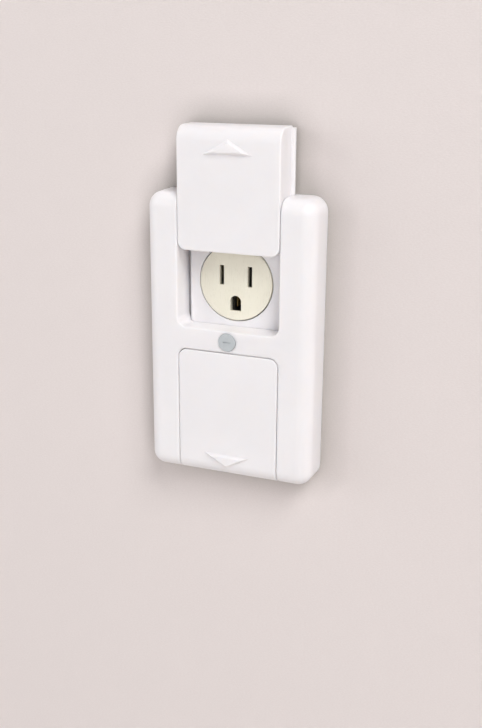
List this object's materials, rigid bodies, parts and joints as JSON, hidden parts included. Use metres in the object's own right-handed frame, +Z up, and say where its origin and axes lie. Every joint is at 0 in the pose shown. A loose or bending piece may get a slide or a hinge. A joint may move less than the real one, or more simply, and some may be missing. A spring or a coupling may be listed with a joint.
{
  "type": "sliding child-safe outlet cover",
  "caption": "White wall plate with sliding box-shaped covers that hide or expose the round faces of a duplex receptacle.",
  "frame": {"origin": "point of the wall plane on the axis of the centre screw, midway between the two strap screws", "axes": "+X to the right, +Z up along both covers' travel, +Y into the wall along the strap screws"},
  "size_m": [0.0752, 0.0393, 0.1501],
  "materials": {
    "white_plastic": "satin moulded plastic",
    "cover_plastic": "satin moulded plastic",
    "ivory_plastic": "smooth moulded thermoplastic",
    "grey_plastic": "smooth",
    "body_plastic": "moulded, matt",
    "spring_steel": "bright rolled",
    "zinc_steel": "zinc plated",
    "galvanised_steel": "galvanised",
    "brass": "stamped",
    "plated_screws": "nickel plated",
    "green_screw": "green passivated",
    "fibre": "pressed fibre board"
  },
  "bodies": {
    "housing": {"front_frame": "white_plastic", "base_plate": "white_plastic", "upper_cover_spring": "spring_steel", "lower_cover_spring": "spring_steel", "centre_screw": "zinc_steel", "screw_cap": "grey_plastic", "plate_screws": "zinc_steel", "receptacle_face": "ivory_plastic", "receptacle_body": "body_plastic", "mounting_strap": "galvanised_steel", "neutral_contact": "brass", "hot_contact": "brass", "ground_contact": "brass", "ground_rivet": "brass", "neutral_terminal_screws": "plated_screws", "hot_terminal_screws": "brass", "neutral_pressure_plates": "plated_screws", "hot_pressure_plates": "brass", "ground_screw": "green_screw", "body_screws": "zinc_steel", "strap_screws": "zinc_steel", "screw_retainers": "fibre"},
    "upper_slider": {"upper_cover": "cover_plastic"},
    "lower_slider": {"lower_cover": "cover_plastic"}
  },
  "joints": [
    {"name": "upper_cover_slide", "type": "slide", "parent": "housing", "child": "upper_slider", "axis": [0, 0, 1], "range_m": [-0.0327, 0]},
    {"name": "lower_cover_slide", "type": "slide", "parent": "housing", "child": "lower_slider", "axis": [0, 0, -1], "range_m": [0, 0.0327]}
  ]
}
